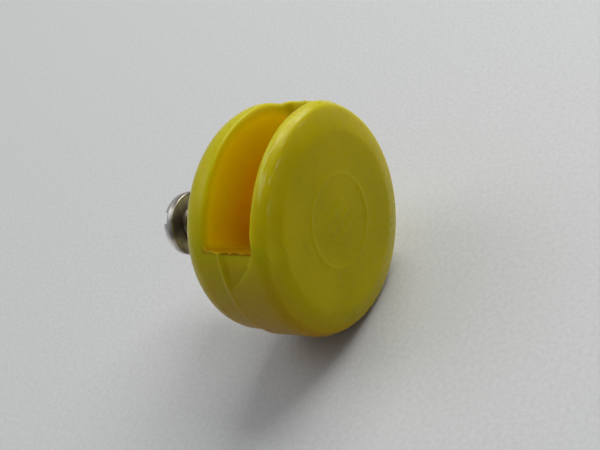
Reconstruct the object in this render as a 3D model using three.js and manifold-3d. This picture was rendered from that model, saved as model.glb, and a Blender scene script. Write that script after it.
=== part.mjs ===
// Disc insulator for an electric fence: a thick round moulding with a deep wire slot, screwed to a
// post from behind. Millimetres, +Z up, the wire slot opening upwards. The origin is where the
// screw's axis crosses the flat back face; the front face looks along -Y and the post is at +Y.
import * as THREE from 'three';
import { mergeVertices } from 'three/addons/utils/BufferGeometryUtils.js';
import Module from 'manifold-3d';

// Driving dimensions, in millimetres.
const discRadius = 16;
const backRadius = 15.9; // the rim tapers towards the back, for mould release
const frontPlate = 3; // thickness in front of the slot
const slotWidth = 7.6;
const backPlate = 5; // thickness behind the slot
const discRise = 1.25; // the disc's centre lies this far above the screw axis
const frontRoundRadial = 3.4; // the front edge is a full, soft round
const frontRoundAxial = 2.8;
const backRoundRadial = 4;
const backRoundAxial = 3.8;

// The slot takes the disc's upper quarter. Its two end walls stand at 45 degrees to +Z.
const slotTurn = Math.PI / 4;
const lowerWall = 4.3; // from the disc's centre to the wall on the left, seen from the front
const upperWall = 2.55; // from the disc's centre to the wall on the right
const hubRadius = 5.3; // the round core left standing in the slot, about the screw axis

const insertRadius = 3.5;
const insertLength = 9;
const insertGrooveRadius = 3.1;
const insertGrooveWidth = 1.6;
const fitGap = 0.3; // clearance kept between neighbouring pieces
const holeDepth = 13.5; // blind screw hole, from the back face

// M5 x 16 pan-head screw with a straight driver slot. The shank is a plain cylinder of about
// the thread's mean diameter.
const screwShank = 2.3;
const screwLength = 16;
const headRadius = 4.75;
const headHeight = 3;
const headSide = 1.5; // the straight part of the head's side
const headRound = 1.5; // the shoulder between the side and the flat top
const headStandOff = 11.8; // from the disc's back face to the underside of the head
const tipChamfer = 0.6;
const driverWidth = 1.5;
const driverDepth = 1.6;
const driverTurn = slotTurn + THREE.MathUtils.degToRad(9);

const discSides = 96;
const smallSides = 48;
const roundSteps = 8;
const beyond = 6; // how far a cutting tool reaches past the solid

const thickness = frontPlate + slotWidth + backPlate;

const wasm = await Module();
wasm.setup();

// Turns a closed three.js geometry into a manifold solid.
function toSolid(geometry) {
  const bare = geometry.clone();
  bare.deleteAttribute('normal');
  bare.deleteAttribute('uv');
  const merged = mergeVertices(bare, 1e-4);
  const vertProperties = new Float32Array(merged.attributes.position.array);
  const triVerts = new Uint32Array(merged.index.array);
  return new wasm.Manifold(new wasm.Mesh({ numProp: 3, vertProperties, triVerts }));
}

// Turns a manifold solid back into a three.js geometry.
function toGeometry(solid) {
  const mesh = solid.getMesh();
  const geometry = new THREE.BufferGeometry();
  geometry.setAttribute('position', new THREE.BufferAttribute(new Float32Array(mesh.vertProperties), 3));
  geometry.setIndex(new THREE.BufferAttribute(new Uint32Array(mesh.triVerts), 1));
  geometry.computeVertexNormals();
  return geometry;
}

// Points on a quarter ellipse about (radius, y), from startAngle to startAngle + 90 degrees.
function quarterRound(radius, y, radial, axial, startAngle) {
  const points = [];
  for (let step = 0; step <= roundSteps; step += 1) {
    const angle = startAngle + (step / roundSteps) * (Math.PI / 2);
    points.push(new THREE.Vector2(radius + radial * Math.cos(angle), y + axial * Math.sin(angle)));
  }
  return points;
}

// A cylinder along Y between two heights, about the screw axis.
function cylinderBetween(radius, lowY, highY) {
  const geometry = new THREE.CylinderGeometry(radius, radius, highY - lowY, smallSides);
  return geometry.translate(0, (lowY + highY) / 2, 0);
}

// The whole round disc, before the slot and the screw hole are cut.
function discBlank() {
  const outline = [
    new THREE.Vector2(0, -thickness),
    ...quarterRound(
      discRadius - frontRoundRadial, -thickness + frontRoundAxial,
      frontRoundRadial, frontRoundAxial, -Math.PI / 2,
    ),
    ...quarterRound(
      backRadius - backRoundRadial, -backRoundAxial,
      backRoundRadial, backRoundAxial, 0,
    ),
    new THREE.Vector2(0, 0),
  ];
  return new THREE.LatheGeometry(outline, discSides).translate(0, 0, discRise);
}

// The space of the wire slot: a quarter block between the two end walls, less the hub.
function slotTool() {
  const reach = discRadius + beyond;
  const across = reach + upperWall;
  const along = reach + lowerWall;
  const block = new THREE.BoxGeometry(across, slotWidth, along);
  block.translate((upperWall - reach) / 2, -backPlate - slotWidth / 2, (reach - lowerWall) / 2);
  block.rotateY(slotTurn);
  block.translate(0, 0, discRise);
  const hub = cylinderBetween(hubRadius, -thickness, beyond);
  return toSolid(block).subtract(toSolid(hub));
}

// The pocket moulded round the insert, and the screw hole that runs on past it.
function screwHoleTool() {
  const pocket = cylinderBetween(insertRadius + fitGap, -insertLength - fitGap, beyond);
  const hole = cylinderBetween(screwShank + fitGap, -holeDepth, beyond);
  return toSolid(pocket).add(toSolid(hole));
}

function insulatorBody() {
  return toGeometry(toSolid(discBlank()).subtract(slotTool()).subtract(screwHoleTool()));
}

// A threaded sleeve with a locking groove round its middle.
function threadedInsert() {
  const bore = screwShank + fitGap;
  const mouth = -fitGap;
  const end = -insertLength;
  const middle = (mouth + end) / 2;
  const grooveLow = middle - insertGrooveWidth / 2;
  const grooveHigh = middle + insertGrooveWidth / 2;
  const outline = [
    new THREE.Vector2(bore, end),
    new THREE.Vector2(insertRadius, end),
    new THREE.Vector2(insertRadius, grooveLow),
    new THREE.Vector2(insertGrooveRadius, grooveLow),
    new THREE.Vector2(insertGrooveRadius, grooveHigh),
    new THREE.Vector2(insertRadius, grooveHigh),
    new THREE.Vector2(insertRadius, mouth),
    new THREE.Vector2(bore, mouth),
    new THREE.Vector2(bore, end),
  ];
  return new THREE.LatheGeometry(outline, smallSides);
}

// The screw: a pan head with a flat underside, round shoulders and a straight driver slot.
function machineScrew() {
  const tip = headStandOff - screwLength;
  const sideTop = headStandOff + headSide;
  const top = headStandOff + headHeight;
  const outline = [
    new THREE.Vector2(0, tip),
    new THREE.Vector2(screwShank - tipChamfer, tip),
    new THREE.Vector2(screwShank, tip + tipChamfer),
    new THREE.Vector2(screwShank, headStandOff),
    new THREE.Vector2(headRadius, headStandOff),
    ...quarterRound(headRadius - headRound, sideTop, headRound, headHeight - headSide, 0),
    new THREE.Vector2(0, top),
  ];
  const blank = new THREE.LatheGeometry(outline, smallSides);
  const slot = new THREE.BoxGeometry(2 * headRadius + beyond, driverDepth + beyond, driverWidth);
  slot.rotateY(driverTurn);
  slot.translate(0, top - driverDepth + (driverDepth + beyond) / 2, 0);
  return toGeometry(toSolid(blank).subtract(toSolid(slot)));
}

function yellowPlastic() {
  return new THREE.MeshStandardMaterial({ color: 0xb8ac1e, roughness: 0.42, metalness: 0 });
}

function brass() {
  return new THREE.MeshStandardMaterial({ color: 0xb08d3c, roughness: 0.35, metalness: 1 });
}

function steel() {
  return new THREE.MeshStandardMaterial({ color: 0x6b6760, roughness: 0.4, metalness: 1 });
}

function namedMesh(name, geometry, material) {
  const mesh = new THREE.Mesh(geometry, material);
  mesh.name = name;
  return mesh;
}

const insulator = new THREE.Group();
insulator.add(namedMesh('insulator_body', insulatorBody(), yellowPlastic()));
insulator.add(namedMesh('threaded_insert', threadedInsert(), brass()));
insulator.add(namedMesh('machine_screw', machineScrew(), steel()));

export default insulator;
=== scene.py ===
"""Looks for the slotted disc insulator: a moulded yellow disc on a slotted steel screw.

Lengths are in millimetres until a mesh is made, and then in metres. The frame is the CAD model's:
the front face looks along -Y, the post would be at +Y, and the wire slot opens towards +Z.
"""
import math

import bpy
import numpy as np
from mathutils import Matrix, Vector


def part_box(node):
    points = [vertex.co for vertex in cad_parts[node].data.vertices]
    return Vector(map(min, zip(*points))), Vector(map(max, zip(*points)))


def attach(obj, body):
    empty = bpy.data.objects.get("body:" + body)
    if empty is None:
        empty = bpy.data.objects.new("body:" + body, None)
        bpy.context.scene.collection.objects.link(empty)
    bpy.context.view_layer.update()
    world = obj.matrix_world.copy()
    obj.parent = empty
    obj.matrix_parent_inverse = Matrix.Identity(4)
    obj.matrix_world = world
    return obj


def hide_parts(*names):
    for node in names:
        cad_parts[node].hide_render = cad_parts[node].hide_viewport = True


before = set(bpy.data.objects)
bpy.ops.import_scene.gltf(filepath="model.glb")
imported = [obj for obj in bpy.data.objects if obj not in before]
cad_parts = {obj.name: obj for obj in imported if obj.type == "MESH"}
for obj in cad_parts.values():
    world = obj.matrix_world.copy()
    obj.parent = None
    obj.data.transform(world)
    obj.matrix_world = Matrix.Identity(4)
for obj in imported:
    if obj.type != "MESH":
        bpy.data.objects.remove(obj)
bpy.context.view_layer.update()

MM = 1000.0  # millimetres in a metre


def node_box(name):
    """A CAD node's lowest and highest corner, in millimetres."""
    low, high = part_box(name)
    return low * MM, high * MM


body_low, body_high = node_box("insulator_body")
screw_low, screw_high = node_box("machine_screw")
insert_low, insert_high = node_box("threaded_insert")

# The disc. Depth is counted from the back face towards the front.
RADIUS = (body_high.x - body_low.x) / 2
THICKNESS = body_high.y - body_low.y
RISE = (body_high.z + body_low.z) / 2  # the disc's centre above the screw's axis
BACK_RADIUS = 0.99 * RADIUS
FRONT_ROUND = 0.165 * RADIUS
BACK_ROUND = 0.25 * RADIUS
FACE_RADIUS = 0.77 * RADIUS  # where the flat face meets the crowned edge, in a soft crease
CROWN = math.radians(15)
PARTING_DEPTH = 0.467 * THICKNESS
PARTING_STEP = 0.12  # half the depth over which one mould half gives way to the other
MOULD_SHIFT = 0.22  # the back half sits this far off the front half, towards +X and +Z
DRAFT = 0.006  # the rim's taper away from the parting line
CREASE_WIDTH = 0.12  # round the flat face

# The rim's faults. Angles here go round from the direction square to the slot's upper wall.
LOBES = 0.14  # the whole rim is this much three-lobed
LOBES_TURN = math.radians(100)
OVAL = 0.2  # the back half is this much oval too
OVAL_TURN = math.radians(215)
SWELL = 0.25  # the rim swells just past the slot's upper end
SWELL_TURN = math.radians(98)
SWELL_ARC = math.radians(14)
RIDGE = 0.85  # a ridge crosses the rim at the slot's upper end
RIDGE_ARC = math.radians(5)
RIDGE_RISE = (2.6, 5.0)  # the depths between which it rises
RIDGE_FALL = (11.0, 13.0)
RIDGE_RIPPLE = 0.03
FLASH = 0.12  # the bead along the parting line
FLASH_RIPPLE = 0.06
FLASH_WIDTH = 0.2
FLASH_ALLOWANCE = 0.05  # the rim is this much under size, to leave room for the flash

# The wire slot, cut at 45 degrees on both sides of +Z.
BACK_PLATE = 5.0
SLOT_WIDTH = 7.6
LOWER_WALL = 4.42
UPPER_WALL = 2.55
HUB_RADIUS = 5.3
SLOT_END = BACK_PLATE + SLOT_WIDTH  # the depth of the front plate's inner face
PLATE_DRAFT = 0.015  # the slot widens this much for each millimetre out from the hub
SLOT_FILLET = 1.1
HUB_FILLET = 0.8  # between the hub and the front plate
FRONT_CORNER = 0.25  # between the end walls and the front plate
BACK_EDGE_SOFTNESS = 0.45  # on the slot's edge round the back plate
FRONT_EDGE_SOFTNESS = 0.5
END_SOFTNESS = 0.1  # at the lower end, where the edge is still sharp
SLOT_LEAN = 0.3  # the slot wanders this far towards the back near its lower end
LIP = 0.28  # the torn lip on the rim at the lower end, and a share of it at the upper end
LIP_RIPPLE = 0.2
LIP_NOTCH = 0.12  # how much lower it is at the parting line
LIP_NOTCH_WIDTH = 0.5
UPPER_LIP_SHARE = 0.3
LOWER_END = math.radians(-164.4)  # where the slot's end walls meet the rim
UPPER_END = math.radians(80.8)
WITNESS_ARC = math.radians(21)  # how far the slot core's witness mark runs on past the lower end
WITNESS_DEPTH = 0.32

# The shallow generic mark on the face: a ring and three bars.
MARK_HEIGHT = 0.09
MARK_RING = 6.4
MARK_HALF_LINE = 0.22
MARK_HALF_BAR = 2.6
MARK_PITCH = 1.7

# The screw and its insert.
HEAD_RADIUS = (screw_high.x - screw_low.x) / 2
HEAD_TOP = screw_high.y
HEAD_HEIGHT = 3.0
HEAD_SEAT = HEAD_TOP - HEAD_HEIGHT
SCREW_TIP = screw_low.y
THREAD_OUTER = 2.48
THREAD_DEPTH = 0.42
PITCH = 0.8
HEAD_ROUND = 1.4
CROWN_RADIUS = 16.0  # the head's top is slightly crowned
DRIVER_WIDTH = 1.6
DRIVER_DEPTH = 1.75
DRIVER_TURN = math.radians(45 + 9)
INSERT_RADIUS = (insert_high.x - insert_low.x) / 2
KNURL_DEPTH = 0.18
KNURL_TEETH = 27
BAND_DEPTH = 0.2  # the plain groove round the middle of the knurl
BORE_GAP = 0.05  # keeps the insert's thread clear of the screw's at every point of its travel
COUNTERSINK = 0.35
HOLE_RADIUS = 2.9
HOLE_DEPTH = 13.5
POCKET_GAP = 0.04  # between the insert and the plastic round it

# Grid steps for the meshes.
DISC_STEP = 0.224
METAL_STEP = 0.13

# The camera, seen from the disc's centre.
VIEW_DISTANCE = 10.0 * RADIUS
VIEW_TURN = math.radians(52.8)  # between the disc's axis and the line of sight, to the right
VIEW_TILT = math.radians(-1.2)  # the axis dips this much in the picture
LENS = 69.25
AIM_RIGHT = 0.0455 * RADIUS  # the picture's centre lies right of the disc's centre
AIM_UP = -0.0456 * RADIUS

# Light, in metres and watts. Each direction is given as the picture's right, up and back.
WORLD_STRENGTH = 0.34
SKY_DIRECTION = (-0.6, 0.75, 0.1)
SKY = ((0.03, 0.032, 0.035, 1), (0.95, 0.97, 1.0, 1))  # its darkest and its palest
WINDOW = {
    "direction": (0.10, 0.95, 0.10),
    "distance": 0.6,
    "size": 0.5,
    "power": 3.0,
    "colour": (0.99, 1.0, 0.97),
}
FILL = {
    "direction": (-0.85, 0.5, 0.2),
    "distance": 0.7,
    "size": 0.4,
    "power": 0.75,
    "colour": (0.95, 0.97, 1.0),
}
FLOOR_SIZE = 3.0


# ---------------------------------------------------------------- distance fields

def smooth_max(a, b, width):
    """The greater of two fields, with the crease between them rounded over about that width."""
    h = np.clip(0.5 - 0.5 * (b - a) / width, 0.0, 1.0)
    return b + (a - b) * h + width * h * (1.0 - h)


def smooth_min(a, b, width):
    return -smooth_max(-a, -b, width)


def rounded_corner(a, b, radius):
    """Inside both a < 0 and b < 0, with the outer corner rounded to that radius."""
    p = a + radius
    q = b + radius
    outside = np.hypot(np.maximum(p, 0.0), np.maximum(q, 0.0))
    return np.minimum(np.maximum(p, q), 0.0) + outside - radius


def smooth_step(value, low, high):
    t = np.clip((value - low) / (high - low), 0.0, 1.0)
    return t * t * (3.0 - 2.0 * t)


def bell(value, centre, width):
    """1 at the centre, falling away smoothly to both sides."""
    return np.exp(-((value - centre) / width) ** 2)


def ripple(value, phase):
    """A smooth, irregular wave between about -1 and 1."""
    wave = np.sin(1.9 * value + phase) + 0.7 * np.sin(4.3 * value + 2.1 * phase)
    return (wave + 0.5 * np.sin(9.7 * value + 3.7 * phase)) / 2.2


def slot_axes(x, height):
    """The two directions along the slot's end walls: across is square to the upper one."""
    return (x - height) * math.sqrt(0.5), (x + height) * math.sqrt(0.5)


def witness_mark(x, depth, height):
    """Depth of the shallow wedge that the slot's core left on the rim, past the slot's lower end."""
    across, along = slot_axes(x, height)
    angle = np.arctan2(along, across)
    past = (angle - LOWER_END) / WITNESS_ARC
    start = SLOT_END + 0.5
    edge = start + (PARTING_DEPTH + 0.6 - start) * np.clip(past, 0.0, 1.0) ** 1.5
    inside = smooth_step(edge - depth, 0.0, 0.7) * smooth_step(depth, PARTING_DEPTH, PARTING_DEPTH + 1.0)
    along_mark = smooth_step(past, -0.4, 0.0) * (1.0 - smooth_step(past, 0.55, 1.0))
    return WITNESS_DEPTH * inside * along_mark


def out_of_round(x, depth, height, front_half):
    """How far the rim stands out from a true circle: lobes, a swelling and a ridge."""
    across, along = slot_axes(x, height)
    angle = np.arctan2(along, across)
    lobes = LOBES * np.cos(3.0 * (angle - LOBES_TURN))
    oval = OVAL * np.cos(2.0 * (angle - OVAL_TURN))
    swell = SWELL * bell(angle, SWELL_TURN, SWELL_ARC)
    ridge = RIDGE * bell(angle, UPPER_END, RIDGE_ARC) * smooth_step(depth, *RIDGE_RISE)
    ridge = ridge * (1.0 - smooth_step(depth, *RIDGE_FALL))
    whole = lobes + swell + ridge * (1.0 + RIDGE_RIPPLE * ripple(1.4 * depth, 0.9))
    return whole + oval * (1.0 - front_half)


def disc_distance(x, depth, z):
    """The round disc without its slot: two mould halves that meet at the parting line."""
    front_half = smooth_step(depth, PARTING_DEPTH - PARTING_STEP, PARTING_DEPTH + PARTING_STEP)
    shift = MOULD_SHIFT * math.sqrt(0.5) * (1.0 - front_half)
    height = z - RISE - shift
    radius = np.hypot(x - shift, height)
    angle = np.arctan2(height, x - shift)
    rim = BACK_RADIUS + (RADIUS - BACK_RADIUS) * front_half - DRAFT * np.abs(depth - PARTING_DEPTH)
    rim = rim + out_of_round(x - shift, depth, height, front_half)
    flash = FLASH + FLASH_RIPPLE * ripple(6.0 * angle, 0.4)
    rim = rim - FLASH_ALLOWANCE + flash * bell(depth, PARTING_DEPTH, FLASH_WIDTH)
    rim = rim - witness_mark(x, depth, height)
    wall = radius - rim
    front = rounded_corner(wall, depth - THICKNESS, FRONT_ROUND)
    crown = (depth - THICKNESS) * math.cos(CROWN) + (radius - FACE_RADIUS) * math.sin(CROWN)
    front = smooth_max(front, crown, CREASE_WIDTH)
    back = rounded_corner(wall, -depth, BACK_ROUND)
    return np.maximum(front, back)


def torn_lip(depth, radius):
    """Height of the ragged lip along the slot's end walls, where they meet the rim."""
    at_rim = smooth_step(radius, RADIUS - 0.8, RADIUS - 0.2)
    notch = bell(depth, PARTING_DEPTH, LIP_NOTCH_WIDTH)
    return at_rim * (LIP + LIP_RIPPLE * ripple(1.7 * depth, 1.3) - LIP_NOTCH * notch)


def slot_distance(x, depth, z):
    """The space of the wire slot: negative where the plastic is cut away."""
    height = z - RISE
    across, along = slot_axes(x, height)
    radius = np.hypot(x, height)
    lip = torn_lip(depth, radius)
    lower = -along - LOWER_WALL + lip
    upper = across - UPPER_WALL + UPPER_LIP_SHARE * lip
    depth = depth + SLOT_LEAN * smooth_step(-along, -3.0, LOWER_WALL)
    draft = PLATE_DRAFT * np.maximum(radius - HUB_RADIUS, 0.0)
    back = BACK_PLATE - draft - depth
    front = depth - BACK_PLATE - SLOT_WIDTH - draft
    hub = HUB_RADIUS - np.hypot(x, z)
    lower_end = rounded_corner(lower, back, SLOT_FILLET)
    upper_end = rounded_corner(upper, back, SLOT_FILLET)
    seat = rounded_corner(hub, back, SLOT_FILLET)
    back_side = np.maximum(np.maximum(lower_end, upper_end), seat)
    front_side = smooth_max(np.maximum(lower, upper), front, FRONT_CORNER)
    return np.maximum(np.maximum(back_side, front_side), rounded_corner(hub, front, HUB_FILLET))


def screw_hole_distance(x, depth, z):
    """The screw's hole and the wider pocket that holds the insert."""
    radius = np.hypot(x, z)
    pocket = np.maximum(radius - INSERT_RADIUS - POCKET_GAP, depth + insert_low.y - 0.1)
    hole = np.maximum(radius - HOLE_RADIUS, depth - HOLE_DEPTH)
    return np.minimum(pocket, hole)


def mark_relief(x, z):
    """Height of the mark above the face, at a point on it."""
    height = z - RISE
    shape = np.abs(np.hypot(x, height) - MARK_RING) - MARK_HALF_LINE
    for level in (-MARK_PITCH, 0.0, MARK_PITCH):
        line = np.abs(height - level) - MARK_HALF_LINE
        shape = np.minimum(shape, rounded_corner(np.abs(x) - MARK_HALF_BAR, line, 0.2))
    return MARK_HEIGHT * smooth_step(-shape, -0.12, 0.08)


def edge_softness(depth, along):
    """How softly the slot's edge is rounded: by plate, and hardly at all at the lower end."""
    share = smooth_step(depth, PARTING_DEPTH, PARTING_DEPTH + 3.0)
    softness = BACK_EDGE_SOFTNESS + (FRONT_EDGE_SOFTNESS - BACK_EDGE_SOFTNESS) * share
    at_end = smooth_step(-along, LOWER_WALL - 0.9, LOWER_WALL - 0.2)
    return softness + (END_SOFTNESS - softness) * at_end


def body_distance(x, y, z):
    """The whole disc, set back by the mark's height so that the mark's top stays in the box."""
    depth = -y
    lifted = depth - mark_relief(x, z) * smooth_step(depth, THICKNESS - 1.0, THICKNESS - 0.4)
    disc = disc_distance(x, lifted + MARK_HEIGHT, z)
    along = slot_axes(x, z - RISE)[1]
    cut = smooth_max(disc, -slot_distance(x, depth, z), edge_softness(depth, along))
    return smooth_max(cut, -screw_hole_distance(x, depth, z), 0.15)


def thread_radius(x, y, z):
    """The thread's surface radius at a point: a rounded 60-degree profile on a right-hand helix."""
    turn = np.arctan2(x, z) / (2 * math.pi)
    phase = (y / PITCH - turn) % 1.0
    crest = np.abs(phase - 0.5) * 2.0
    return THREAD_OUTER - THREAD_DEPTH * smooth_step(crest, 0.12, 0.88)


def screw_distance(x, y, z):
    """The screw: a threaded shank with a chamfered tip, and a pan head with a driver slot."""
    radius = np.hypot(x, z)
    shank = (radius - thread_radius(x, y, z)) * 0.75
    shank = smooth_max(shank, SCREW_TIP - y, 0.2)
    chamfer = (radius - THREAD_OUTER + 0.7 + (SCREW_TIP - y) * 0.9) * 0.74
    shank = smooth_max(shank, chamfer, 0.1)
    shank = np.maximum(shank, y - HEAD_SEAT - 0.6)
    crown = np.sqrt(radius ** 2 + (y - HEAD_TOP + CROWN_RADIUS) ** 2) - CROWN_RADIUS
    top = rounded_corner(radius - HEAD_RADIUS, crown, HEAD_ROUND)
    head = np.maximum(top, rounded_corner(radius - HEAD_RADIUS, HEAD_SEAT - y, 0.2))
    cut = x * math.sin(DRIVER_TURN) + z * math.cos(DRIVER_TURN)
    driver = smooth_max(np.abs(cut) - DRIVER_WIDTH / 2, HEAD_TOP - DRIVER_DEPTH - y, 0.15)
    head = smooth_max(head, -driver, 0.15)
    return smooth_min(shank, head, 0.25)


def insert_distance(x, y, z):
    """The sleeve in the hub: knurled outside, with shallow thread grooves inside."""
    radius = np.hypot(x, z)
    angle = np.arctan2(z, x)
    middle = (insert_low.y + insert_high.y) / 2
    knurl = KNURL_DEPTH * np.sin(0.5 * KNURL_TEETH * angle) ** 2
    band = BAND_DEPTH * np.exp(-((y - middle) / 0.8) ** 4)
    outer = radius - (INSERT_RADIUS - 0.2 + knurl - band)
    ends = np.maximum(y - insert_high.y, insert_low.y - y)
    sleeve = rounded_corner(outer, ends, 0.2)
    grooves = 0.4 * (thread_radius(x, y, z) - THREAD_OUTER + THREAD_DEPTH)
    bore = THREAD_OUTER + BORE_GAP + grooves - radius
    countersink = (THREAD_OUTER + COUNTERSINK - (insert_high.y - y) - radius) * 0.7
    return smooth_max(sleeve, np.maximum(bore, countersink), 0.08)


# ---------------------------------------------------------------- surface from a field

def cell_points(field):
    """Surface nets: one point in each grid cell that the surface crosses, in grid units."""
    shape = tuple(n - 1 for n in field.shape)
    total = np.zeros(shape + (3,), np.float32)
    count = np.zeros(shape, np.float32)
    for axis in range(3):
        low = np.moveaxis(field, axis, 0)[:-1]
        high = np.moveaxis(field, axis, 0)[1:]
        crossed = (low < 0) != (high < 0)
        share = np.where(crossed, low / np.where(crossed, low - high, 1.0), 0.0)
        for i in (0, 1):
            for j in (0, 1):
                rows = slice(i, i + crossed.shape[1] - 1)
                columns = slice(j, j + crossed.shape[2] - 1)
                hit = crossed[:, rows, columns]
                local = [share[:, rows, columns], np.full(hit.shape, i), np.full(hit.shape, j)]
                others = [k for k in range(3) if k != axis]
                target = np.moveaxis(total, axis, 0)
                target[..., axis] += hit * local[0]
                target[..., others[0]] += hit * local[1]
                target[..., others[1]] += hit * local[2]
                np.moveaxis(count, axis, 0)[...] += hit
    return total, count


def cell_quads(field, index):
    """A quad round each grid edge that the surface crosses, facing out of the solid."""
    quads = []
    for axis in range(3):
        values = np.moveaxis(field, axis, 0)
        cells = np.moveaxis(index, axis, 0)
        low = values[:-1, 1:-1, 1:-1]
        high = values[1:, 1:-1, 1:-1]
        ring = [cells[:, :-1, :-1], cells[:, 1:, :-1], cells[:, 1:, 1:], cells[:, :-1, 1:]]
        if axis == 1:
            ring = ring[::-1]
        for hit, order in (((low < 0) & (high >= 0), ring), ((low >= 0) & (high < 0), ring[::-1])):
            quads.append(np.stack([corner[hit] for corner in order], axis=1))
    return np.concatenate(quads)


def gradient(distance, points, reach):
    """The field and its gradient at each point, by central differences."""
    x, y, z = points.T
    slope = np.stack([
        distance(x + reach, y, z) - distance(x - reach, y, z),
        distance(x, y + reach, z) - distance(x, y - reach, z),
        distance(x, y, z + reach) - distance(x, y, z - reach),
    ], axis=1) / (2 * reach)
    return distance(x, y, z), slope


def settle(distance, points, step):
    """Moves points onto the surface by Newton steps along the gradient."""
    for _ in range(3):
        value, slope = gradient(distance, points, 0.05 * step)
        length = np.maximum((slope ** 2).sum(1), 0.25)
        move = np.clip(value / length, -0.4 * step, 0.4 * step)
        points = points - slope * move[:, None]
    return points


def relax(points, quads):
    """Each point moved half-way to the mean of its neighbours."""
    total = np.zeros_like(points)
    count = np.zeros(len(points))
    for a, b in ((0, 1), (1, 2), (2, 3), (3, 0)):
        for p, q in ((a, b), (b, a)):
            count += np.bincount(quads[:, p], minlength=len(points))
            for k in range(3):
                values = points[quads[:, q], k]
                total[:, k] += np.bincount(quads[:, p], weights=values, minlength=len(points))
    return 0.5 * points + 0.5 * total / np.maximum(count, 1)[:, None]


def solid_from_field(name, distance, low, high, step):
    """A closed, evenly spaced quad mesh of the surface where the field is zero."""
    margin = 2.5 * step
    axes = [np.arange(a - margin, b + margin, step) for a, b in zip(low, high)]
    field = distance(*np.meshgrid(*axes, indexing="ij"))
    total, count = cell_points(field)
    used = count > 0
    index = np.full(count.shape, -1, np.int64)
    index[used] = np.arange(used.sum())
    start = np.array([axis[0] for axis in axes])
    points = start + step * (np.argwhere(used) + total[used] / count[used][:, None])
    quads = cell_quads(field, index)
    points = settle(distance, points, step)
    for _ in range(2):
        points = settle(distance, relax(points, quads), step)
    mesh = bpy.data.meshes.new(name)
    mesh.from_pydata((points / MM).tolist(), [], quads.tolist())
    if mesh.validate():
        raise RuntimeError(name + " has a broken face")
    mesh.polygons.foreach_set("use_smooth", [True] * len(mesh.polygons))
    piece = bpy.data.objects.new(name, mesh)
    bpy.context.scene.collection.objects.link(piece)
    return piece


# ---------------------------------------------------------------- materials

# Base colours. A pair is the two ends of a mottled or graded colour.
RIM_YELLOW = ((0.53, 0.47, 0.001, 1), (0.59, 0.53, 0.002, 1))
# The face's yellow is darker and more orange than the rim's: painted shade.
FACE_SHADED_YELLOW = ((0.45, 0.37, 0.001, 1), (0.54, 0.44, 0.001, 1))
# Painted light in the slot: a bright glow near the mouth, turning into deeper, redder painted shade at
# the seat.
SLOT_PAINTED_GLOW_AND_SHADE = ((0.84, 0.70, 0.001, 1), (0.70, 0.37, 0.001, 1))  # at the mouth and at the seat
# Painted shade on the rim's lower side: darker and browner towards the bottom.
LOW_RIM_PAINTED_SHADE = (0.37, 0.205, 0.001, 1)
# Painted shade on the slot's lower wall and lip.
LEDGE_PAINTED_SHADE = (0.36, 0.20, 0.002, 1)
# Pale streaks of painted highlight on the front plate's shoulder.
PAINTED_GLINT_PALE = (0.85, 0.86, 0.35, 1)
BRIGHT_STEEL = ((0.62, 0.60, 0.56, 1), (0.95, 0.93, 0.89, 1))
# Painted shade on the steel towards the head's underside.
SHADED_STEEL = ((0.19, 0.165, 0.13, 1), (0.45, 0.41, 0.34, 1))
BRASS = ((0.42, 0.27, 0.08, 1), (0.70, 0.50, 0.20, 1))
TABLE_PALE = ((0.60, 0.60, 0.605, 1), (0.67, 0.67, 0.675, 1))

# Each set of scratches on the face: the way it runs, and how much it is drawn out.
SCRATCHES = ((math.radians(20), 9.0), (math.radians(-35), 7.0), (math.radians(75), 11.0))
GLINT_SHORTENING = 0.12  # the painted highlights are drawn out round the rim by the inverse of this
UPPER_END_SOLID = 0.6  # how far the rim's glow is taken away at the slot's upper end


def new_material(name):
    """A material, its nodes and links, its shader, and the place on the object."""
    material = bpy.data.materials.new(name)
    material.use_nodes = True
    nodes, links = material.node_tree.nodes, material.node_tree.links
    position = nodes.new("ShaderNodeTexCoord").outputs["Object"]
    return material, nodes, links, nodes["Principled BSDF"], position


def noise(nodes, links, position, scale, detail=4.0):
    node = nodes.new("ShaderNodeTexNoise")
    node.inputs["Scale"].default_value = scale
    node.inputs["Detail"].default_value = detail
    links.new(position, node.inputs["Vector"])
    return node.outputs["Fac"]


def ramp(nodes, links, value, places, colours):
    """A colour that goes from the first of two to the second as the value goes between two places."""
    node = nodes.new("ShaderNodeValToRGB")
    for point, place, colour in zip(node.color_ramp.elements, places, colours):
        point.position = place
        point.color = colour
    links.new(value, node.inputs["Fac"])
    return node.outputs["Color"]


def remap(nodes, links, value, low, high, to_low=0.0, to_high=1.0):
    node = nodes.new("ShaderNodeMapRange")
    for name, number in (("From Min", low), ("From Max", high), ("To Min", to_low), ("To Max", to_high)):
        node.inputs[name].default_value = number
    links.new(value, node.inputs["Value"])
    return node.outputs["Result"]


def rises(nodes, links, length, start, end):
    """0 up to the start and 1 from the end on. The start and end are in millimetres."""
    return remap(nodes, links, length, start / MM, end / MM)


def bump(nodes, links, height, strength, distance, normal=None):
    node = nodes.new("ShaderNodeBump")
    node.inputs["Strength"].default_value = strength
    node.inputs["Distance"].default_value = distance
    links.new(height, node.inputs["Height"])
    if normal is not None:
        links.new(normal, node.inputs["Normal"])
    return node.outputs["Normal"]


def arithmetic(nodes, links, operation, *values):
    """One Math node; each value is a number or another node's output."""
    node = nodes.new("ShaderNodeMath")
    node.operation = operation
    for socket, value in zip(node.inputs, values):
        if isinstance(value, (int, float)):
            socket.default_value = value
        else:
            links.new(value, socket)
    return node.outputs["Value"]


def mix_colour(nodes, links, share, first, second):
    node = nodes.new("ShaderNodeMix")
    node.data_type = "RGBA"
    sockets = [socket for socket in node.inputs if socket.type == "RGBA"]
    for socket, colour in zip(sockets, (first, second)):
        if isinstance(colour, tuple):
            socket.default_value = colour
        else:
            links.new(colour, socket)
    links.new(share, node.inputs["Factor"])
    return [socket for socket in node.outputs if socket.type == "RGBA"][0]


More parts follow.
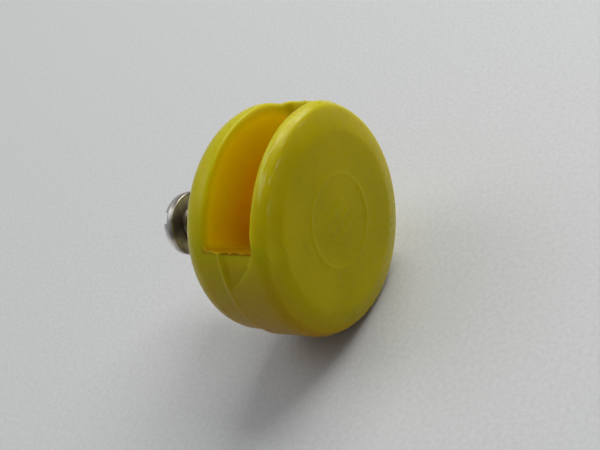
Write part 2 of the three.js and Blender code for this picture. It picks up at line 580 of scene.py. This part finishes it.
def disc_coordinates(nodes, links, position):
    """A point's place on the disc: along and across the slot's upper wall, radius, angle and Y."""
    parts = nodes.new("ShaderNodeSeparateXYZ")
    links.new(position, parts.inputs["Vector"])
    x, y, z = (parts.outputs[axis] for axis in "XYZ")
    height = arithmetic(nodes, links, "SUBTRACT", z, RISE / MM)
    half = math.sqrt(0.5)
    along = arithmetic(nodes, links, "MULTIPLY", arithmetic(nodes, links, "ADD", x, height), half)
    across = arithmetic(nodes, links, "MULTIPLY", arithmetic(nodes, links, "SUBTRACT", x, height), half)
    x_squared = arithmetic(nodes, links, "MULTIPLY", x, x)
    height_squared = arithmetic(nodes, links, "MULTIPLY", height, height)
    radius = arithmetic(nodes, links, "SQRT", arithmetic(nodes, links, "ADD", x_squared, height_squared))
    angle = arithmetic(nodes, links, "ARCTAN2", height, x)
    return along, across, radius, angle, y


def both(nodes, links, *masks):
    """The product of two or more masks."""
    product = masks[0]
    for mask in masks[1:]:
        product = arithmetic(nodes, links, "MULTIPLY", product, mask)
    return product


def depth_mask(nodes, links, y, start, end):
    """Rises from 0 to 1 as the depth goes from start to end."""
    return rises(nodes, links, y, -start, -end)


def slot_mask(nodes, links, radius, y):
    """Rises from the slot's mouth to its seat, and is 0 on the outside of the disc. It spreads the
    slot's painted glow and painted shade.
    """
    inward = rises(nodes, links, radius, RADIUS - 0.4, 0.45 * RADIUS)
    past_back = depth_mask(nodes, links, y, BACK_PLATE - 1.0, BACK_PLATE - 0.4)
    before_front = depth_mask(nodes, links, y, SLOT_END + 0.8, SLOT_END + 0.2)
    return both(nodes, links, inward, past_back, before_front)


def ledge_shade_mask(nodes, links, along, across, radius, y):
    """The slot's lower wall and its lip, darkened with painted shade."""
    above = arithmetic(nodes, links, "ADD", along, LOWER_WALL / MM)
    low = rises(nodes, links, above, 1.2, 0.4)
    inside = rises(nodes, links, above, -0.3, -0.1)
    side = rises(nodes, links, across, -2.0, -4.0)
    past_back = depth_mask(nodes, links, y, BACK_PLATE - 0.9, BACK_PLATE - 0.4)
    before_front = depth_mask(nodes, links, y, SLOT_END + 0.3, SLOT_END - 0.1)
    inward = rises(nodes, links, radius, RADIUS + 0.05, RADIUS - 0.2)
    return both(nodes, links, low, inside, side, past_back, before_front, inward)


def near_lower_end(nodes, links, along, across):
    """The plastic round the slot's lower end, which is too thick to glow."""
    above = arithmetic(nodes, links, "ADD", along, LOWER_WALL / MM)
    near = rises(nodes, links, arithmetic(nodes, links, "ABSOLUTE", above), 1.8, 0.7)
    return both(nodes, links, near, rises(nodes, links, across, -3.0, -5.0))


def near_upper_end(nodes, links, along, across):
    """The rim round the slot's upper end, which glows less than so thin an edge would."""
    past_wall = arithmetic(nodes, links, "SUBTRACT", across, UPPER_WALL / MM)
    distance = arithmetic(nodes, links, "ABSOLUTE", past_wall)
    near = remap(nodes, links, distance, 4.0 / MM, 1.0 / MM, 0.0, UPPER_END_SOLID)
    return both(nodes, links, near, rises(nodes, links, along, 0.88 * RADIUS, 0.94 * RADIUS))


def glint_mask(nodes, links, along, across, radius, angle, y):
    """Short pale painted highlights round the front plate's shoulder, on the side where the slot is
    open.
    """
    around = arithmetic(nodes, links, "MULTIPLY", angle, GLINT_SHORTENING * RADIUS / MM)
    place = nodes.new("ShaderNodeCombineXYZ")
    for axis, value in zip("XYZ", (around, radius, y)):
        links.new(value, place.inputs[axis])
    patches = noise(nodes, links, place.outputs["Vector"], 1900.0, 2.0)
    shoulder = rises(nodes, links, radius, RADIUS - 2.2, RADIUS - 1.2)
    forward = depth_mask(nodes, links, y, THICKNESS - 2.9, THICKNESS - 2.2)
    left = rises(nodes, links, across, -0.3 * RADIUS, -0.6 * RADIUS)
    upper = rises(nodes, links, along, 0.0, 0.3 * RADIUS)
    crests = remap(nodes, links, patches, 0.55, 0.67, 0.0, 0.42)
    return both(nodes, links, crests, shoulder, forward, left, upper)


def scratches(nodes, links, position, turn, stretch):
    """Thin marks that run one way: noise stretched along one axis, with only its crests kept."""
    mapping = nodes.new("ShaderNodeMapping")
    mapping.inputs["Rotation"].default_value = (0, turn, 0)
    mapping.inputs["Scale"].default_value = (stretch, 1.0, 1.0)
    links.new(position, mapping.inputs["Vector"])
    lines = noise(nodes, links, mapping.outputs["Vector"], 200.0, 1.0)
    return remap(nodes, links, lines, 0.69, 0.72)


def yellow_colour(nodes, links, position, masks):
    """The plastic's colour: mottled yellow outside, with painted shade on the face, the lower side and
    the ledge, painted glow and shade in the slot, and painted highlights on the shoulder.
    """
    broad = noise(nodes, links, position, 90.0)
    outside = ramp(nodes, links, broad, (0.35, 0.7), RIM_YELLOW)
    # The face takes the darker, more orange yellow, as painted shade.
    face = ramp(nodes, links, broad, (0.35, 0.7), FACE_SHADED_YELLOW)
    # The rim darkens towards the bottom with painted shade.
    outside = mix_colour(nodes, links, masks["low_side_shade"], outside, LOW_RIM_PAINTED_SHADE)
    colour = mix_colour(nodes, links, masks["face"], outside, face)
    # Inside the slot the colour is painted glow near the mouth and painted shade towards the seat.
    inner = ramp(nodes, links, masks["slot"], (0.15, 0.9), SLOT_PAINTED_GLOW_AND_SHADE)
    in_slot = remap(nodes, links, masks["slot"], 0.0, 0.15)
    colour = mix_colour(nodes, links, in_slot, colour, inner)
    # The lower wall and lip are darkened with painted shade.
    colour = mix_colour(nodes, links, masks["ledge_shade"], colour, LEDGE_PAINTED_SHADE)
    # The pale streaks on the shoulder are painted highlights.
    return mix_colour(nodes, links, masks["painted_glints"], colour, PAINTED_GLINT_PALE)


def yellow_relief(nodes, links, position, fine, on_face):
    """The plastic's slight waviness and grain, and the scratches on its face."""
    wavy = noise(nodes, links, position, 160.0, 2.0)
    normal = bump(nodes, links, wavy, 0.35, 0.0003)
    normal = bump(nodes, links, fine, 0.15, 0.00006, normal)
    for turn, stretch in SCRATCHES:
        marks = both(nodes, links, scratches(nodes, links, position, turn, stretch), on_face)
        normal = bump(nodes, links, marks, 0.8, 0.00012, normal)
    return normal


def yellow_plastic():
    material, nodes, links, shader, position = new_material("yellow_plastic")
    along, across, radius, angle, y = disc_coordinates(nodes, links, position)
    masks = {
        "slot": slot_mask(nodes, links, radius, y),
        "face": depth_mask(nodes, links, y, THICKNESS - 1.2, THICKNESS - 0.3),
        # The lower side's painted shade.
        "low_side_shade": rises(nodes, links, along, -0.2 * RADIUS, -0.95 * RADIUS),
        "ledge_shade": ledge_shade_mask(nodes, links, along, across, radius, y),
        "painted_glints": glint_mask(nodes, links, along, across, radius, angle, y),
    }
    links.new(yellow_colour(nodes, links, position, masks), shader.inputs["Base Color"])
    fine = noise(nodes, links, position, 900.0)
    links.new(remap(nodes, links, fine, 0.3, 0.7, 0.24, 0.38), shader.inputs["Roughness"])
    dull = masks["face"]
    for name in ("slot", "ledge_shade", "low_side_shade"):
        dull = arithmetic(nodes, links, "MAXIMUM", dull, masks[name])
    links.new(remap(nodes, links, dull, 0.0, 1.0, 0.26, 0.06), shader.inputs["Specular IOR Level"])
    shader.inputs["Specular Tint"].default_value = (1.0, 0.96, 0.5, 1)
    lower_end = near_lower_end(nodes, links, along, across)
    upper_end = near_upper_end(nodes, links, along, across)
    solid = arithmetic(nodes, links, "MAXIMUM", lower_end, upper_end)
    links.new(remap(nodes, links, solid, 0.0, 1.0, 1.0, 0.0), shader.inputs["Subsurface Weight"])
    shader.inputs["Subsurface Radius"].default_value = (1.0, 0.7, 0.03)
    shader.inputs["Subsurface Scale"].default_value = 0.004
    relief = yellow_relief(nodes, links, position, fine, masks["face"])
    links.new(relief, shader.inputs["Normal"])
    return material


def screw_steel():
    """Steel that is darker from the bare shank to the head's underside, as painted shade, and plain
    beyond both.
    """
    material, nodes, links, shader, position = new_material("screw_steel")
    patina = noise(nodes, links, position, 500.0)
    bright = ramp(nodes, links, patina, (0.35, 0.65), BRIGHT_STEEL)
    # The darker steel is painted shade.
    shaded_steel = ramp(nodes, links, patina, (0.35, 0.65), SHADED_STEEL)
    parts = nodes.new("ShaderNodeSeparateXYZ")
    links.new(position, parts.inputs["Vector"])
    inner_shank = rises(nodes, links, parts.outputs["Y"], 7.0, 4.0)
    head_top = rises(nodes, links, parts.outputs["Y"], HEAD_TOP - 2.7, HEAD_TOP - 1.9)
    # Outside the painted shade the steel keeps its plain colour.
    unshaded = arithmetic(nodes, links, "MAXIMUM", inner_shank, head_top)
    links.new(mix_colour(nodes, links, unshaded, shaded_steel, bright), shader.inputs["Base Color"])
    shader.inputs["Metallic"].default_value = 1.0
    links.new(remap(nodes, links, patina, 0.3, 0.7, 0.42, 0.26), shader.inputs["Roughness"])
    fine = noise(nodes, links, position, 2500.0)
    links.new(bump(nodes, links, fine, 0.3, 0.00003), shader.inputs["Normal"])
    return material


def insert_brass():
    material, nodes, links, shader, position = new_material("insert_brass")
    tarnish = noise(nodes, links, position, 400.0)
    links.new(ramp(nodes, links, tarnish, (0.35, 0.65), BRASS), shader.inputs["Base Color"])
    shader.inputs["Metallic"].default_value = 1.0
    links.new(remap(nodes, links, tarnish, 0.3, 0.7, 0.4, 0.24), shader.inputs["Roughness"])
    return material


def table_surface():
    """A plain pale table with a fine grain."""
    material, nodes, links, shader, position = new_material("table_surface")
    grain = noise(nodes, links, position, 1500.0, 3.0)
    links.new(ramp(nodes, links, grain, (0.3, 0.7), TABLE_PALE), shader.inputs["Base Color"])
    shader.inputs["Roughness"].default_value = 0.55
    links.new(bump(nodes, links, grain, 0.15, 0.0001), shader.inputs["Normal"])
    return material


# ---------------------------------------------------------------- pieces

def add_piece(name, distance, box, step, material, body, node):
    """Builds one visible piece in place of its CAD node."""
    piece = solid_from_field(name, distance, box[0], box[1], step)
    piece.data.materials.append(material)
    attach(piece, body)
    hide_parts(node)
    return piece


def add_pieces():
    add_piece("insulator_disc", body_distance, (body_low, body_high), DISC_STEP,
              yellow_plastic(), "insulator", "insulator_body")
    add_piece("slotted_screw", screw_distance, (screw_low, screw_high), METAL_STEP,
              screw_steel(), "screw", "machine_screw")
    add_piece("knurled_insert", insert_distance, (insert_low, insert_high), METAL_STEP,
              insert_brass(), "insulator", "threaded_insert")


# ---------------------------------------------------------------- camera, lights and floor

disc_centre = Vector((0, (body_low.y + body_high.y) / 2, RISE))


def view_axes():
    """The camera's right, up and back directions in the frame."""
    half = math.sqrt(0.5)
    across = Vector((half, 0, -half))
    along = Vector((half, 0, half))
    front = Vector((0, -1, 0))
    seen_across = Vector((math.cos(VIEW_TURN), 0, -math.sin(VIEW_TURN)))
    seen_front = Vector((
        math.sin(VIEW_TURN) * math.cos(VIEW_TILT),
        math.sin(VIEW_TILT),
        math.cos(VIEW_TURN) * math.cos(VIEW_TILT),
    ))
    seen_along = seen_front.cross(seen_across)
    return [across * seen_across[k] + along * seen_along[k] + front * seen_front[k] for k in range(3)]


right, up, back = view_axes()


def add_camera():
    data = bpy.data.cameras.new("camera")
    data.lens = LENS
    data.sensor_width = 36.0
    camera = bpy.data.objects.new("camera", data)
    place = disc_centre + right * AIM_RIGHT + up * AIM_UP + back * VIEW_DISTANCE
    rotation = Matrix((right, up, back)).transposed().to_4x4()
    camera.matrix_world = Matrix.Translation(place / MM) @ rotation
    data.clip_start = 0.005
    data.clip_end = 20.0
    bpy.context.scene.collection.objects.link(camera)
    bpy.context.scene.camera = camera


def picture_direction(direction):
    """A unit vector in the frame from a direction given as the picture's right, up and back."""
    return (right * direction[0] + up * direction[1] + back * direction[2]).normalized()


def add_area_light(name, direction, distance, size, power, colour):
    """A soft square light that looks at the disc."""
    data = bpy.data.lights.new(name, "AREA")
    data.size = size
    data.energy = power
    data.color = colour
    light = bpy.data.objects.new(name, data)
    towards = picture_direction(direction)
    light.location = disc_centre / MM + towards * distance
    light.rotation_mode = "QUATERNION"
    light.rotation_quaternion = towards.to_track_quat("Z", "Y")
    bpy.context.scene.collection.objects.link(light)


def add_world():
    """A sky that is palest in one direction, so that the metal has something to reflect."""
    world = bpy.data.worlds.new("studio")
    world.use_nodes = True
    nodes, links = world.node_tree.nodes, world.node_tree.links
    background = nodes["Background"]
    background.inputs["Strength"].default_value = WORLD_STRENGTH
    dot = nodes.new("ShaderNodeVectorMath")
    dot.operation = "DOT_PRODUCT"
    links.new(nodes.new("ShaderNodeTexCoord").outputs["Generated"], dot.inputs[0])
    dot.inputs[1].default_value = picture_direction(SKY_DIRECTION)
    share = remap(nodes, links, dot.outputs["Value"], -0.7, 0.9)
    links.new(ramp(nodes, links, share, (0.0, 1.0), SKY), background.inputs["Color"])
    bpy.context.scene.world = world


def add_floor():
    bpy.ops.mesh.primitive_plane_add(size=FLOOR_SIZE, location=(0, 0, body_low.z / MM))
    floor = bpy.context.object
    floor.name = "floor"
    floor.data.materials.append(table_surface())


bpy.context.scene.view_settings.view_transform = "Standard"
add_camera()
add_world()
add_area_light("window", **WINDOW)
add_area_light("fill", **FILL)
add_floor()
add_pieces()
